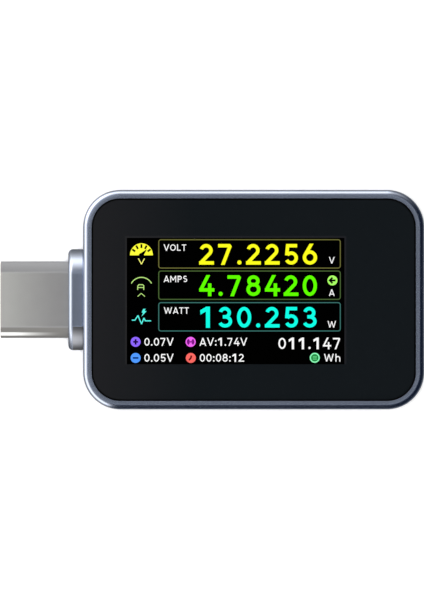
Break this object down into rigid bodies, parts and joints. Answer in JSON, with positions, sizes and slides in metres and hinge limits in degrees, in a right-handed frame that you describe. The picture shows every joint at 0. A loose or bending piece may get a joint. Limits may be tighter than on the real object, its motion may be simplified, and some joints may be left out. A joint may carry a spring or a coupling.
{
  "type": "usb power meter",
  "caption": "Pocket USB-C power meter: metal frame, glass over a colour display, plug on one end, socket on the other, data port and push buttons on the sides.",
  "frame": {"origin": "centre of the body's back face, which the meter rests on with its display upwards", "axes": "+X from the plug to the socket, +Y towards the long side with the push buttons, +Z out of the display"},
  "size_m": [0.0456, 0.0236, 0.01],
  "materials": {
    "blue_grey_aluminium": "bead-blasted and anodised blue-grey",
    "black_glass": "polished, black from behind",
    "display_glass": "black display glass with a lit picture",
    "white_reflector": "white reflector tray",
    "satin_steel": "satin nickel-plated steel",
    "dark_steel": "black oxide",
    "gold_contact": "gold-plated copper alloy",
    "black_plastic": "moulded, fine matte",
    "black_foam": "soft matte foam",
    "board_laminate": "green solder mask over glass-fibre laminate",
    "amber_film": "amber polyimide film",
    "chip_epoxy": "moulded chip epoxy",
    "ceramic": "fired ceramic with tinned ends",
    "grey_silicone": "soft silicone pad"
  },
  "bodies": {
    "meter_body": {"back_cover": "blue_grey_aluminium", "back_screw_1": "dark_steel", "back_screw_2": "dark_steel", "back_screw_3": "dark_steel", "back_screw_4": "dark_steel", "board_screw_1": "satin_steel", "board_screw_2": "satin_steel", "button_left_switch": "satin_steel", "button_middle_switch": "satin_steel", "button_right_switch": "satin_steel", "capacitor_1": "ceramic", "capacitor_2": "ceramic", "capacitor_3": "ceramic", "capacitor_4": "ceramic", "cover_glass": "black_glass", "crystal": "satin_steel", "data_port_contacts_lower": "gold_contact", "data_port_contacts_upper": "gold_contact", "data_port_shell": "satin_steel", "data_port_tongue": "black_plastic", "display_backlight": "white_reflector", "display_cell": "display_glass", "display_driver_chip": "chip_epoxy", "display_flex": "amber_film", "flash_chip": "chip_epoxy", "flex_connector": "black_plastic", "foam_pad": "black_foam", "glass_tape": "black_foam", "housing_frame": "blue_grey_aluminium", "inductor": "chip_epoxy", "main_board": "board_laminate", "mcu_chip": "chip_epoxy", "meter_chip": "chip_epoxy", "plug_collar": "blue_grey_aluminium", "plug_contacts_lower": "gold_contact", "plug_contacts_upper": "gold_contact", "plug_insulator": "black_plastic", "plug_latch": "satin_steel", "plug_shell": "satin_steel", "power_mosfet_1": "chip_epoxy", "power_mosfet_2": "chip_epoxy", "regulator_chip": "chip_epoxy", "shunt_resistor": "satin_steel", "socket_contacts_lower": "gold_contact", "socket_contacts_upper": "gold_contact", "socket_shell": "satin_steel", "socket_tongue": "black_plastic", "thermal_pad": "grey_silicone"},
    "button_left": {"button_left_cap": "blue_grey_aluminium", "button_left_plunger": "black_plastic"},
    "button_middle": {"button_middle_cap": "blue_grey_aluminium", "button_middle_plunger": "black_plastic"},
    "button_right": {"button_right_cap": "blue_grey_aluminium", "button_right_plunger": "black_plastic"}
  },
  "joints": [
    {"name": "button_left_press", "type": "slide", "parent": "meter_body", "child": "button_left", "axis": [0, -1, 0], "range_m": [0, 0.00025], "stiffness_N_per_m": 4000, "springref_m": -0.00015},
    {"name": "button_middle_press", "type": "slide", "parent": "meter_body", "child": "button_middle", "axis": [0, -1, 0], "range_m": [0, 0.00025], "stiffness_N_per_m": 4000, "springref_m": -0.00015},
    {"name": "button_right_press", "type": "slide", "parent": "meter_body", "child": "button_right", "axis": [0, -1, 0], "range_m": [0, 0.00025], "stiffness_N_per_m": 4000, "springref_m": -0.00015}
  ]
}
